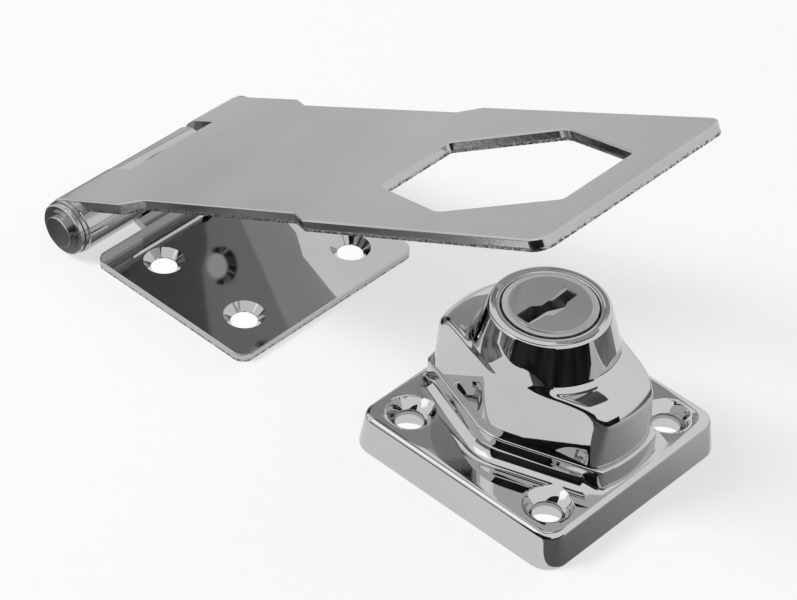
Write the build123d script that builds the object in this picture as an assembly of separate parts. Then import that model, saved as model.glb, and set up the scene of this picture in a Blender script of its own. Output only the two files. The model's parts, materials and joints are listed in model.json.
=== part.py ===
# Keyed turn-knob hasp: a hinged slotted strap that closes over a knob lock.
# Millimetres and degrees. The origin is the middle of the lock base's mounting face,
# +X runs from the hinge to the strap's tip, +Z stands off the mounting surface.
# The strap is drawn raised by RAISE, with the knob in line with its cut-out.

from build123d import *
import os
from math import asin, cos, radians, sin

# Strap: a chromed steel sheet, rolled into two knuckles at the hinge end
STRAP_THICK = 1.9
STRAP_WIDTH = 40.6
STRAP_REACH = 110.6
WAIST_STEP = 2.05
WAIST_START = 15.6
SHOULDER_RUN = 4.2
TIP_RADIUS = 2.6
SHEET_EDGE_RADIUS = 0.3
RAISE = 27.0

# Cut-out of the strap, a long hexagon that clears the knob all round
CUTOUT_END_GAP = 1.5
CUTOUT_SIDE_GAP = 1.95
CUTOUT_CORNER_GAP = 1.7
CUTOUT_MID_RADIUS = 4.0
CUTOUT_CORNER_RADIUS = 0.9
TIP_LAND = 7.2
WAIST_LAND = 4.2

# Hinge: pin, rolled knuckles and the lift of the axis above the mounting surface
PIN_RADIUS = 2.9
RUNNING_GAP = 0.05
AXIS_LIFT = 0.15
CURL_END_GAP = 0.25
FRONT_KNUCKLE = 11.7
BACK_KNUCKLE = 10.1
NOTCH_DEPTH = 4.6
KNUCKLE_END_GAP = 0.15
KNUCKLE_BACK_GAP = 2.05

# Pin ends: a washer, a stepped head at the front and a riveted head at the back
WASHER_RADIUS = 4.7
WASHER_THICK = 0.6
HEAD_RADIUS = 4.5
HEAD_THICK = 1.0
STEP_RADIUS = 3.5
STEP_THICK = 0.4
BOSS_RADIUS = 2.8
BOSS_THICK = 0.6
RIVET_RADIUS = 4.2
RIVET_THICK = 1.2
PIN_END_GAP = 0.05

# Hinge leaf: a thinner sheet with four countersunk screw holes
LEAF_THICK = 1.4
LEAF_INSET = 0.3
LEAF_REACH = 39.9
LEAF_EDGE = 5.4
LEAF_JOG = 2.6
LEAF_CORNER_RADIUS = 2.2
LEAF_HOLE_X = 13.8
LEAF_HOLE_PITCH_X = 18.6
LEAF_HOLE_EDGE = 7.7
LEAF_HOLE_RADIUS = 2.2
LEAF_RIM_RADIUS = 3.4
LEAF_EDGE_RADIUS = 0.2

# Lock base: a drafted square casting with a hexagonal pedestal
PLATE_RIM = 2.6
PLATE_HEIGHT = 6.2
PLATE_CORNER_RADIUS = 3.8
PLATE_DRAFT = 8.0
PLATE_EDGE_RADIUS = 1.5
PLATE_HOLE_EDGE = 6.5
PLATE_HOLE_RADIUS = 2.25
PLATE_RIM_RADIUS = 3.8
PEDESTAL_HEIGHT = 10.2
PEDESTAL_OVERHANG = 0.5
PEDESTAL_FOOT_RADIUS = 0.9
PEDESTAL_END_OVERHANG = 0.7
PEDESTAL_END_RADIUS = 26.0
PEDESTAL_CORNER_RADIUS = 1.6
PEDESTAL_EDGE_RADIUS = 0.3
POCKET_RADIUS = 11.0
POCKET_DEPTH = 5.6

# Turn knob: a round dome with a conical collar, cut by four flanks to the cut-out's shape
KNOB_GAP = 0.1
KNOB_LENGTH = 35.8
KNOB_WIDTH = 24.8
KNOB_END_SIDE = 12.0
KNOB_MID_RADIUS = 9.0
FLANK_DRAFT = 1.5
DOME_SLOPE = 25.0
DOME_ROUND = 3.0
DOME_RIM_RADIUS = 11.8
COLLAR_TOP_RADIUS = 9.3
COLLAR_HEIGHT = 7.4
COLLAR_TOP_HEIGHT = 28.2
FLANK_OVERRUN = 8.0
KNOB_CORNER_RADIUS = 2.6
COLLAR_FOOT_RADIUS = 0.6
COLLAR_EDGE_RADIUS = 0.4
LOBE_WALL = 2.0
LOBE_POCKET_TOP = 14.6
LOBE_POCKET_START = 9.4
HUB_RADIUS = 7.95
HUB_END = 1.9
HUB_FLAT = 7.3

# Key plug: a dished face and a body that turns in the knob's bore
FACE_RADIUS = 7.3
FACE_THICK = 1.7
FACE_GAP = 0.3
FACE_DISH = 0.35
FACE_PROUD = 0.1
FACE_LIP = 0.6
PLUG_RADIUS = 6.3
PLUG_END = 11.0
SEAT_GAP = 0.1
TAIL_RADIUS = 4.45
TAIL_END = 8.75
LIP_THICK = 0.9

# Keyway: two legs, offset to each side and joined by a slanting middle
KEYWAY_LEG = 2.3
KEYWAY_LOW = -5.5
KEYWAY_HIGH = 4.6
KEYWAY_OFFSET_LOW = -0.75
KEYWAY_OFFSET_HIGH = 0.45
KEYWAY_BEND = 1.3
KEYWAY_BOTTOM = 12.4

# Wafers: five flat plates that slide across the plug
WAFER_COUNT = 5
WAFER_PITCH = 2.5
WAFER_DEPTH = 3.6
WAFER_THICK = 0.8
WAFER_WIDTH = 5.9
WAFER_WINDOW_WIDTH = 3.4
WAFER_WINDOW_LENGTH = 7.6
WAFER_GAP = 0.1
WAFER_TRAVEL = 0.6
WAFER_LUG = 1.3
WAFER_LUG_LENGTH = 1.2
WAFER_STEPS = (0.2, -0.3, 0.5, 0.0, 0.4)
GROOVE_DEPTH = 0.8
SPRING_LENGTH = 2.4
SPRING_RADIUS = 0.4
SPRING_COILS = 4
SPRING_WIRE = 0.12

# Locking bolt: slid by an eccentric pin in the plug's tail
DRIVE_RADIUS = 1.8
DRIVE_PIN_RADIUS = 0.9
DRIVE_PIN_START = 10.8
DRIVE_GAP = 0.12
FIT_GAP = 0.02
BOLT_THICK = 2.0
BOLT_WIDTH = 5.0
BOLT_BACK = 3.6
BOLT_INSET = 0.25
BOLT_SIDE_GAP = 0.08
BOLT_LIFT_GAP = 0.1
CHAMBER_RADIUS = 6.2
CAP_THICK = 1.2
CLIP_RADIUS = 5.5
CLIP_THICK = 0.6
CLIP_GROOVE_DEPTH = 0.7
CLIP_MOUTH = 5.0

# What holds the knob down: stop washer, dished spring washer and snap ring
STOP_THICK = 1.0
STOP_RADIUS = 10.3
STOP_LUG_HEIGHT = 0.9
STOP_LUG_INNER = 8.7
STOP_LUG_ANGLE = 14.0
STOP_LUG_START = 191.0
STOP_PLAY = 1.0
KNOB_TURN = 90.0
SPRING_WASHER_THICK = 0.45
SPRING_WASHER_RISE = 0.55
RING_THICK = 0.8
RING_RADIUS = 9.6
RING_GROOVE_DEPTH = 0.8
RING_MOUTH = 4.0
STACK_GAP = 0.08

# Sizes and places that follow from the sizes above
WAIST_WIDTH = STRAP_WIDTH - 2 * WAIST_STEP
LEAF_WIDTH = STRAP_WIDTH - 2 * LEAF_INSET
LEAF_KNUCKLE = STRAP_WIDTH - FRONT_KNUCKLE - BACK_KNUCKLE - KNUCKLE_END_GAP - KNUCKLE_BACK_GAP
LEAF_HOLE_PITCH_Y = LEAF_WIDTH - 2 * LEAF_HOLE_EDGE
CUTOUT_LENGTH = KNOB_LENGTH + 2 * CUTOUT_END_GAP
CUTOUT_WIDTH = KNOB_WIDTH + 2 * CUTOUT_SIDE_GAP
CUTOUT_END_SIDE = KNOB_END_SIDE + 2 * CUTOUT_CORNER_GAP
CUTOUT_CENTRE = STRAP_REACH - TIP_LAND - CUTOUT_LENGTH / 2
WAIST_END = CUTOUT_CENTRE - CUTOUT_LENGTH / 2 - WAIST_LAND
PLATE_SIDE = KNOB_LENGTH + 2 * PLATE_RIM
PLATE_HOLE_PITCH = PLATE_SIDE - 2 * PLATE_HOLE_EDGE
DOME_RIM_HEIGHT = COLLAR_TOP_HEIGHT - COLLAR_HEIGHT
WAFER_TOP = COLLAR_TOP_HEIGHT - WAFER_DEPTH
BORE_RADIUS = PIN_RADIUS + RUNNING_GAP
KNUCKLE_RADIUS = BORE_RADIUS + STRAP_THICK
LEAF_KNUCKLE_RADIUS = BORE_RADIUS + LEAF_THICK
AXIS_HEIGHT = KNUCKLE_RADIUS + AXIS_LIFT
HINGE = Pos(-CUTOUT_CENTRE, 0, AXIS_HEIGHT)
RAISED = HINGE * Rot(0, -RAISE, 0)
NOTCH_FRONT = -STRAP_WIDTH / 2 + FRONT_KNUCKLE
NOTCH_BACK = STRAP_WIDTH / 2 - BACK_KNUCKLE
KNOB_FOOT = PEDESTAL_HEIGHT + KNOB_GAP
KNOB_RADIUS = KNOB_LENGTH / 2
HUB_BORE = HUB_RADIUS + RUNNING_GAP
PLUG_BORE = PLUG_RADIUS + RUNNING_GAP
FACE_SEAT = COLLAR_TOP_HEIGHT - FACE_THICK
LIP_TOP = PLUG_END - SEAT_GAP
LIP_BOTTOM = LIP_TOP - LIP_THICK
CLIP_TOP = LIP_BOTTOM - STACK_GAP
BOLT_TOP = TAIL_END - BOLT_LIFT_GAP
BOLT_BOTTOM = BOLT_TOP - BOLT_THICK
CAP_TOP = BOLT_BOTTOM - BOLT_LIFT_GAP
BOLT_TRAVEL = 2 * DRIVE_RADIUS * sin(radians(45))
BOLT_TIP = HUB_RADIUS - BOLT_INSET
STOP_TOP = POCKET_DEPTH - STACK_GAP
STOP_BOTTOM = STOP_TOP - STOP_THICK
DISH_HEIGHT = SPRING_WASHER_RISE + SPRING_WASHER_THICK
RING_TOP = STOP_BOTTOM - DISH_HEIGHT - 2 * STACK_GAP
DRIVE_PLACE = Pos(-DRIVE_RADIUS * sin(radians(45)), -DRIVE_RADIUS * sin(radians(45)), 0)
FAR = 200.0


def box_between(low, high):
    """A box given by its lowest and highest corners."""
    size = [b - a for a, b in zip(low, high)]
    return Pos(*low) * Box(*size, align=(Align.MIN, Align.MIN, Align.MIN))


def cylinder_between(radius, low, high):
    """An upright cylinder on the Z axis."""
    return Pos(0, 0, low) * Cylinder(radius, high - low, align=(Align.CENTER, Align.CENTER, Align.MIN))


def long_hexagon(length, width, end_side):
    """A hexagon that is long in X: square ends, and points in the middle of its long sides."""
    x, y, e = length / 2, width / 2, end_side / 2
    return Polygon((-x, -e), (0, -y), (x, -e), (x, e), (0, y), (-x, e), align=None)


def rounded_hexagon(length, width, end_side, mid_radius, corner_radius):
    """The same hexagon with its middle points and its corners rounded."""
    shape = long_hexagon(length, width, end_side)
    rows = shape.vertices().group_by(Axis.Y)
    shape = fillet(rows[0] + rows[-1], mid_radius)
    corners = [v for v in shape.vertices() if abs(v.X) > length / 2 - corner_radius / 10]
    return fillet(corners, corner_radius)


def sector(radius, start, turn):
    """A pie slice in the XY plane, for cutting rings and grooves, with a turn below 120."""
    reach = 2 * radius
    angles = [radians(a) for a in (start, start + turn / 2, start + turn)]
    rim = [(reach * cos(a), reach * sin(a)) for a in angles]
    return Polygon((0, 0), *rim, align=None) & Circle(radius)


def ring_between(inner, outer, low, high):
    """A flat ring on the Z axis."""
    return cylinder_between(outer, low, high) - cylinder_between(inner, low, high)


def countersunk_tool(hole_radius, rim_radius, top, bottom):
    """What a right-angled countersink and its hole take away, on the Z axis."""
    depth = rim_radius - hole_radius
    cone = Pos(0, 0, top - depth / 2) * Cone(hole_radius, rim_radius, depth)
    return cone + cylinder_between(hole_radius, bottom, top) + cylinder_between(rim_radius, top, top + depth)


def rolled_section(thick, tongue):
    """Section of a sheet rolled round the pin; its tongue leaves the top of the curl along +X."""
    outer = BORE_RADIUS + thick
    end = asin((BORE_RADIUS - CURL_END_GAP) / outer)
    reach = 2 * outer
    mouth = Polygon((0, 0), (reach * cos(end), reach * sin(end)), (reach, reach), (0, reach), align=None)
    return Circle(outer) - Circle(BORE_RADIUS) - mouth + tongue


def edges_on_level(solid, height, half_x=FAR, half_y=FAR):
    """Edges that lie flat at a height, within half_x and half_y of the origin."""
    found = []
    for edge in solid.edges():
        box = edge.bounding_box()
        flat = abs(box.min.Z - height) < 1e-3 and abs(box.max.Z - height) < 1e-3
        near = max(abs(box.min.X), abs(box.max.X)) < half_x and max(abs(box.min.Y), abs(box.max.Y)) < half_y
        if flat and near:
            found.append(edge)
    return found


def hinge_strap():
    """Strap in flat coordinates: X from the hinge axis, Z up from it."""
    half, waist = STRAP_WIDTH / 2, WAIST_WIDTH / 2
    low, high = BORE_RADIUS, KNUCKLE_RADIUS
    tongue = Polygon((0, low), (STRAP_REACH, low), (STRAP_REACH, high), (0, high), align=None)
    sheet = extrude(Plane.XZ * rolled_section(STRAP_THICK, tongue), half, both=True)
    edge = [
        (-2 * KNUCKLE_RADIUS, half),
        (WAIST_START, half),
        (WAIST_START + SHOULDER_RUN, waist),
        (WAIST_END - SHOULDER_RUN, waist),
        (WAIST_END, half),
        (STRAP_REACH, half),
    ]
    outline = Polygon(*edge, *[(x, -y) for x, y in reversed(edge)], align=None)
    outline = fillet(outline.vertices().group_by(Axis.X)[-1], TIP_RADIUS)
    cutout_sizes = (CUTOUT_LENGTH, CUTOUT_WIDTH, CUTOUT_END_SIDE, CUTOUT_MID_RADIUS, CUTOUT_CORNER_RADIUS)
    cutout = rounded_hexagon(*cutout_sizes)
    outline -= Pos(CUTOUT_CENTRE, 0) * cutout
    blank = extrude(outline, FAR / 2, both=True)
    strap = sheet & blank
    strap -= box_between((-FAR, NOTCH_FRONT, -FAR), (NOTCH_DEPTH, NOTCH_BACK, FAR))
    below_tongue = BORE_RADIUS - CURL_END_GAP
    strap -= box_between((-FAR, NOTCH_FRONT, -FAR), (2 * KNUCKLE_RADIUS, NOTCH_BACK, below_tongue))
    rim = [e for e in edges_on_level(strap, KNUCKLE_RADIUS) if e.bounding_box().max.X > KNUCKLE_RADIUS]
    return fillet(rim, SHEET_EDGE_RADIUS)


def hinge_leaf():
    """Leaf in hinge coordinates, its middle tab rolled up round the pin from below."""
    top, base = LEAF_KNUCKLE_RADIUS, AXIS_HEIGHT
    tongue = Polygon(
        (0, top - LEAF_THICK),
        (LEAF_JOG, top - LEAF_THICK),
        (LEAF_EDGE, base - LEAF_THICK),
        (LEAF_REACH, base - LEAF_THICK),
        (LEAF_REACH, base),
        (LEAF_EDGE, base),
        (LEAF_JOG, top),
        (0, top),
        align=None,
    )
    section = rolled_section(LEAF_THICK, tongue).mirror(Plane.XZ)
    sheet = extrude(Plane.XZ * section, LEAF_WIDTH, both=True)
    plate_x = (LEAF_EDGE + LEAF_REACH) / 2
    plate = Pos(plate_x, 0) * RectangleRounded(LEAF_REACH - LEAF_EDGE, LEAF_WIDTH, LEAF_CORNER_RADIUS)
    tab_low = NOTCH_FRONT + KNUCKLE_END_GAP
    tab_x = LEAF_EDGE + LEAF_CORNER_RADIUS + 2 * top
    tab = Pos(-2 * top, tab_low) * Rectangle(tab_x, LEAF_KNUCKLE, align=(Align.MIN, Align.MIN))
    leaf = sheet & extrude(plate + tab, FAR / 2, both=True)
    leaf_top = -base + LEAF_THICK
    rim = [e for e in edges_on_level(leaf, leaf_top) if e.bounding_box().max.X > LEAF_EDGE + 1]
    leaf = fillet(rim, LEAF_EDGE_RADIUS)
    drill = countersunk_tool(LEAF_HOLE_RADIUS, LEAF_RIM_RADIUS, leaf_top, -FAR)
    for x in (LEAF_HOLE_X, LEAF_HOLE_X + LEAF_HOLE_PITCH_X):
        for side in (-1, 1):
            leaf -= Pos(x, side * LEAF_HOLE_PITCH_Y / 2, 0) * drill
    return leaf


def pin_washer():
    """One washer, lying on the XY plane."""
    return ring_between(BORE_RADIUS, WASHER_RADIUS, 0, WASHER_THICK)


def hinge_pin():
    """Pin along Z: shank between two washers, stepped head below and riveted head above."""
    washer_face = STRAP_WIDTH / 2 + PIN_END_GAP + WASHER_THICK + PIN_END_GAP
    pin = cylinder_between(PIN_RADIUS, -washer_face, washer_face)
    head = cylinder_between(HEAD_RADIUS, -washer_face - HEAD_THICK, -washer_face)
    head = chamfer(head.edges().group_by(Axis.Z)[0], HEAD_THICK / 5)
    step_end = -washer_face - HEAD_THICK - STEP_THICK
    step = cylinder_between(STEP_RADIUS, step_end, -washer_face)
    boss = cylinder_between(BOSS_RADIUS, step_end - BOSS_THICK, -washer_face)
    boss = fillet(boss.edges().group_by(Axis.Z)[0], BOSS_THICK / 3)
    rivet = cylinder_between(RIVET_RADIUS, washer_face, washer_face + RIVET_THICK)
    rivet = fillet(rivet.edges().group_by(Axis.Z)[-1], RIVET_THICK * 0.6)
    return pin + head + step + boss + rivet


def hub_opening():
    """Outline of a hole that fits the knob's flat-sided hub."""
    flat = HUB_FLAT + RUNNING_GAP
    return Circle(HUB_BORE) & Rectangle(2 * FAR, 2 * flat)


def rounded_flanks(width):
    """The knob's hexagon, drawn out beyond its ends and rounded in the middle of its long sides."""
    slope = (KNOB_WIDTH - KNOB_END_SIDE) / KNOB_LENGTH
    end_side = width - slope * (KNOB_LENGTH + FLANK_OVERRUN)
    flanks = long_hexagon(KNOB_LENGTH + FLANK_OVERRUN, width, end_side)
    rows = flanks.vertices().group_by(Axis.Y)
    return fillet(rows[0] + rows[-1], KNOB_MID_RADIUS)


def lock_base():
    """Square casting with its pedestal, hub bore, bolt recesses and stop groove."""
    square = RectangleRounded(PLATE_SIDE, PLATE_SIDE, PLATE_CORNER_RADIUS)
    plate = extrude(square, PLATE_HEIGHT, taper=PLATE_DRAFT)
    grow = 2 * PEDESTAL_OVERHANG
    pedestal = rounded_flanks(KNOB_WIDTH + grow)
    bulge_middle = KNOB_LENGTH / 2 + PEDESTAL_END_OVERHANG - PEDESTAL_END_RADIUS
    bulge = Pos(bulge_middle, 0) * Circle(PEDESTAL_END_RADIUS)
    pedestal &= bulge & bulge.mirror(Plane.YZ)
    ends = [v for v in pedestal.vertices() if abs(v.X) > KNOB_WIDTH / 2]
    pedestal = fillet(ends, PEDESTAL_CORNER_RADIUS)
    base = plate + extrude(pedestal, PEDESTAL_HEIGHT)
    inside = KNOB_LENGTH / 2 + grow
    base = fillet(edges_on_level(base, PLATE_HEIGHT, inside, inside), PEDESTAL_FOOT_RADIUS)
    outer = [e for e in edges_on_level(base, PLATE_HEIGHT) if e.bounding_box().diagonal > 0]
    outer = [e for e in outer if max(abs(e.center().X), abs(e.center().Y)) > inside - grow]
    base = fillet(outer, PLATE_EDGE_RADIUS)
    base = fillet(edges_on_level(base, PEDESTAL_HEIGHT), PEDESTAL_EDGE_RADIUS)
    drill = countersunk_tool(PLATE_HOLE_RADIUS, PLATE_RIM_RADIUS, PLATE_HEIGHT, -FAR)
    for place in GridLocations(PLATE_HOLE_PITCH, PLATE_HOLE_PITCH, 2, 2):
        base -= place * drill
    base -= cylinder_between(HUB_BORE, 0, FAR)
    base -= cylinder_between(POCKET_RADIUS, -FAR, POCKET_DEPTH)
    recess_end = BOLT_TIP + BOLT_TRAVEL + BOLT_LIFT_GAP
    side = BOLT_WIDTH / 2 + 2 * BOLT_SIDE_GAP
    low, high = BOLT_BOTTOM - BOLT_LIFT_GAP, BOLT_TOP + BOLT_LIFT_GAP
    recess = box_between((0, -side, low), (recess_end, side, high))
    for turn in (0, KNOB_TURN):
        base -= Rot(0, 0, turn) * recess
    start = STOP_LUG_START - STOP_PLAY
    turn = KNOB_TURN + STOP_LUG_ANGLE + 2 * STOP_PLAY
    groove = sector(STOP_RADIUS + STACK_GAP, start, turn) - Circle(STOP_LUG_INNER - STACK_GAP)
    base -= Pos(0, 0, POCKET_DEPTH) * extrude(groove, STOP_LUG_HEIGHT + STACK_GAP)
    return base


def dome_profile():
    """Half section of the dome and collar: drafted wall, round, slope and cone."""
    draft, slope = radians(FLANK_DRAFT), radians(DOME_SLOPE)
    wall_reach = KNOB_RADIUS * cos(draft) + KNOB_FOOT * sin(draft) - DOME_ROUND
    slope_reach = DOME_RIM_RADIUS * sin(slope) + DOME_RIM_HEIGHT * cos(slope) - DOME_ROUND
    spread = cos(draft) * cos(slope) - sin(draft) * sin(slope)
    middle_x = (wall_reach * cos(slope) - slope_reach * sin(draft)) / spread
    middle_z = (slope_reach * cos(draft) - wall_reach * sin(slope)) / spread
    half_way = (draft + radians(90) - slope) / 2
    arc = [(middle_x + DOME_ROUND * cos(a), middle_z + DOME_ROUND * sin(a)) for a in (draft, half_way)]
    arc.append((middle_x + DOME_ROUND * sin(slope), middle_z + DOME_ROUND * cos(slope)))
    outline = Polyline((0, COLLAR_TOP_HEIGHT), (0, KNOB_FOOT), (KNOB_RADIUS, KNOB_FOOT), arc[0])
    outline += ThreePointArc(*arc)
    rim, top = (DOME_RIM_RADIUS, DOME_RIM_HEIGHT), (COLLAR_TOP_RADIUS, COLLAR_TOP_HEIGHT)
    outline += Polyline(arc[-1], rim, top, (0, COLLAR_TOP_HEIGHT))
    return make_face(outline.edges())


def knob_outside():
    """Dome and collar, cut by the drafted flanks of the long hexagon with its rounded corners."""
    flanks = rounded_flanks(KNOB_WIDTH) & Circle(KNOB_RADIUS)
    flanks = fillet([v for v in flanks.vertices() if abs(v.X) > KNOB_WIDTH / 2], KNOB_CORNER_RADIUS)
    knob = revolve(Plane.XZ * dome_profile(), Axis.Z)
    knob &= Pos(0, 0, KNOB_FOOT) * extrude(flanks, COLLAR_TOP_HEIGHT, taper=FLANK_DRAFT)
    knob = fillet(edges_on_level(knob, DOME_RIM_HEIGHT), COLLAR_FOOT_RADIUS)
    return fillet(edges_on_level(knob, COLLAR_TOP_HEIGHT), COLLAR_EDGE_RADIUS)


def turn_knob():
    """Knob with its hub, plug bore, wafer grooves, bolt window and cored lobes."""
    knob = knob_outside()
    knob += cylinder_between(HUB_RADIUS, POCKET_DEPTH, KNOB_FOOT)
    flat_hub = Circle(HUB_RADIUS) & Rectangle(2 * FAR, 2 * HUB_FLAT)
    knob += Pos(0, 0, HUB_END) * extrude(flat_hub, POCKET_DEPTH - HUB_END)
    knob -= cylinder_between(FACE_RADIUS + FACE_GAP, FACE_SEAT, FAR)
    knob -= cylinder_between(PLUG_BORE, LIP_TOP, FAR)
    knob -= cylinder_between(TAIL_RADIUS + RUNNING_GAP, 0, FAR)
    knob -= cylinder_between(CHAMBER_RADIUS, 0, LIP_BOTTOM)
    reach = PLUG_BORE + GROOVE_DEPTH
    half = WAFER_WIDTH / 2 + 2 * WAFER_GAP
    groove = box_between((-reach, -half, wafer_top(WAFER_COUNT)), (reach, half, WAFER_TOP + 2 * WAFER_GAP))
    for turn in (0, KNOB_TURN):
        knob -= Rot(0, 0, turn) * groove
    side = BOLT_WIDTH / 2 + BOLT_SIDE_GAP
    low, high = BOLT_BOTTOM - BOLT_LIFT_GAP, BOLT_TOP + BOLT_LIFT_GAP
    knob -= box_between((0, -side, low), (2 * HUB_RADIUS, side, high))
    ring_floor = RING_TOP - RING_THICK - STACK_GAP
    knob -= ring_between(HUB_RADIUS - RING_GROOVE_DEPTH, 2 * HUB_RADIUS, ring_floor, RING_TOP + STACK_GAP)
    inset = 2 * LOBE_WALL
    hollow = long_hexagon(KNOB_LENGTH - inset, KNOB_WIDTH - inset, KNOB_END_SIDE - LOBE_WALL)
    hollow &= Circle(KNOB_RADIUS - LOBE_WALL)
    hollow -= Rectangle(2 * LOBE_POCKET_START, FAR)
    knob -= Pos(0, 0, KNOB_FOOT) * extrude(hollow, LOBE_POCKET_TOP - KNOB_FOOT)
    return knob


def wafer_top(index):
    """Height of a wafer's upper face, the first being nearest the face."""
    return WAFER_TOP - index * WAFER_PITCH


def key_plug():
    """Plug with its dished face, keyway, wafer slots, clip groove and drive pin hole."""
    face_low, face_top = FACE_SEAT + SEAT_GAP, COLLAR_TOP_HEIGHT + FACE_PROUD
    lip = FACE_RADIUS - FACE_LIP
    dish = (0, face_top - FACE_DISH)
    outline = Polyline(dish, (0, face_low), (FACE_RADIUS, face_low), (FACE_RADIUS, face_top), (lip, face_top))
    outline += ThreePointArc((lip, face_top), (lip / 2, face_top - FACE_DISH * 3 / 4), dish)
    plug = revolve(Plane.XZ * make_face(outline.edges()), Axis.Z)
    plug += cylinder_between(PLUG_RADIUS, PLUG_END, face_low)
    plug += cylinder_between(TAIL_RADIUS, TAIL_END, PLUG_END)
    groove_floor, groove_low = TAIL_RADIUS - CLIP_GROOVE_DEPTH, CLIP_TOP - CLIP_THICK - FIT_GAP
    plug -= ring_between(groove_floor, PLUG_RADIUS, groove_low, CLIP_TOP + FIT_GAP)
    half = KEYWAY_LEG / 2
    left = [
        (KEYWAY_OFFSET_LOW - half, KEYWAY_LOW),
        (KEYWAY_OFFSET_LOW - half, -KEYWAY_BEND),
        (KEYWAY_OFFSET_HIGH - half, KEYWAY_BEND),
        (KEYWAY_OFFSET_HIGH - half, KEYWAY_HIGH),
    ]
    right = [(x + KEYWAY_LEG, y) for x, y in reversed(left)]
    keyway = extrude(Polygon(*left, *right, align=None), FAR / 2, both=True)
    plug -= keyway & cylinder_between(FAR, KEYWAY_BOTTOM, FAR)
    slot_x = WAFER_WIDTH / 2 + WAFER_GAP
    lug = WAFER_LUG_LENGTH / 2
    for index in range(WAFER_COUNT):
        high = wafer_top(index) + WAFER_GAP
        low = wafer_top(index) - WAFER_THICK - WAFER_GAP
        plug -= box_between((-slot_x, -FAR, low), (slot_x, FAR, high))
        pocket = box_between(
            (0, -lug - SPRING_LENGTH - 2 * WAFER_GAP, low),
            (slot_x + WAFER_LUG, lug + WAFER_TRAVEL + WAFER_GAP, high),
        )
        plug -= Rot(0, 0, 180 * (index % 2)) * pocket
    plug -= DRIVE_PLACE * cylinder_between(DRIVE_PIN_RADIUS + FIT_GAP, 0, DRIVE_PIN_START + FIT_GAP)
    return plug


def wafer(index):
    """One wafer at rest, its ends level with the plug's side and its lug beside the window."""
    plate = Rectangle(WAFER_WIDTH, 2 * FAR) & Circle(PLUG_RADIUS - FIT_GAP)
    plate -= Pos(0, WAFER_STEPS[index]) * Rectangle(WAFER_WINDOW_WIDTH, WAFER_WINDOW_LENGTH)
    lug = Rectangle(WAFER_LUG + FIT_GAP, WAFER_LUG_LENGTH, align=(Align.MIN, Align.CENTER))
    plate += Pos(WAFER_WIDTH / 2 - FIT_GAP, 0) * lug
    plate = Pos(0, 0, wafer_top(index) - WAFER_THICK) * extrude(plate, WAFER_THICK)
    return Rot(0, 0, 180 * (index % 2)) * plate


def wafer_springs():
    """The springs below the wafers' lugs, each drawn as a ribbed rod."""
    pitch = (SPRING_LENGTH - 2 * WAFER_GAP) / SPRING_COILS
    core = SPRING_RADIUS - SPRING_WIRE
    points = [(0, 0), (core, 0)]
    for coil in range(SPRING_COILS):
        points.append((SPRING_RADIUS, (coil + 0.5) * pitch))
        points.append((core, (coil + 1) * pitch))
    points.append((0, SPRING_COILS * pitch))
    rod = revolve(Plane.XZ * Polygon(*points, align=None), Axis.Z)
    rod = Pos(0, -WAFER_LUG_LENGTH / 2 - SPRING_LENGTH + WAFER_GAP, 0) * Rot(-90, 0, 0) * rod
    rods = []
    for index in range(WAFER_COUNT):
        middle = wafer_top(index) - WAFER_THICK / 2
        rods.append(Rot(0, 0, 180 * (index % 2)) * Pos(WAFER_WIDTH / 2 + WAFER_LUG / 2, 0, middle) * rod)
    return Compound(rods)


def drive_pin():
    """Pin pressed into the plug's tail, off its centre."""
    pin = cylinder_between(DRIVE_PIN_RADIUS, BOLT_BOTTOM, DRIVE_PIN_START)
    return DRIVE_PLACE * chamfer(pin.edges().group_by(Axis.Z)[0], DRIVE_PIN_RADIUS / 4)


def plug_clip():
    """Open clip in the tail's groove, which keeps the plug from being drawn out."""
    inner = TAIL_RADIUS - CLIP_GROOVE_DEPTH + FIT_GAP
    clip = ring_between(inner, CLIP_RADIUS, CLIP_TOP - CLIP_THICK, CLIP_TOP)
    half = CLIP_MOUTH / 2
    return clip - box_between((-half, 0, 0), (half, FAR, FAR))


def locking_bolt():
    """Bolt drawn back into the hub, with an open slot in its side for the drive pin."""
    bolt = Rectangle(2 * FAR, BOLT_WIDTH) & Circle(BOLT_TIP)
    bolt -= Pos(-BOLT_BACK, 0) * Rectangle(FAR, FAR, align=(Align.MAX, Align.CENTER))
    start = DRIVE_RADIUS * sin(radians(45))
    slot = Rectangle(2 * (DRIVE_PIN_RADIUS + DRIVE_GAP), FAR, align=(Align.CENTER, Align.MAX))
    bolt -= Pos(-start, -start + DRIVE_PIN_RADIUS + DRIVE_GAP) * slot
    return Pos(0, 0, BOLT_BOTTOM) * extrude(bolt, BOLT_THICK)


def hub_cap():
    """Disc pressed into the hub below the bolt."""
    cap = cylinder_between(CHAMBER_RADIUS - FIT_GAP, CAP_TOP - CAP_THICK, CAP_TOP)
    return chamfer(cap.edges().group_by(Axis.Z)[0], CAP_THICK / 5)


def stop_washer():
    """Washer that turns with the hub, its raised lug running in the base's groove."""
    washer = extrude(Circle(STOP_RADIUS) - hub_opening(), STOP_THICK)
    lug = sector(STOP_RADIUS, STOP_LUG_START, STOP_LUG_ANGLE) - Circle(STOP_LUG_INNER)
    washer += extrude(lug, STOP_THICK + STOP_LUG_HEIGHT)
    return Pos(0, 0, STOP_BOTTOM) * washer


def spring_washer():
    """Dished washer that presses the stop washer up, drawn at its working height."""
    inner, outer = HUB_BORE + STACK_GAP, STOP_RADIUS - STACK_GAP
    low = RING_TOP + STACK_GAP
    section = Polygon(
        (inner, low),
        (outer, low + SPRING_WASHER_RISE),
        (outer, low + DISH_HEIGHT),
        (inner, low + SPRING_WASHER_THICK),
        align=None,
    )
    return revolve(Plane.XZ * section, Axis.Z)


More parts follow.
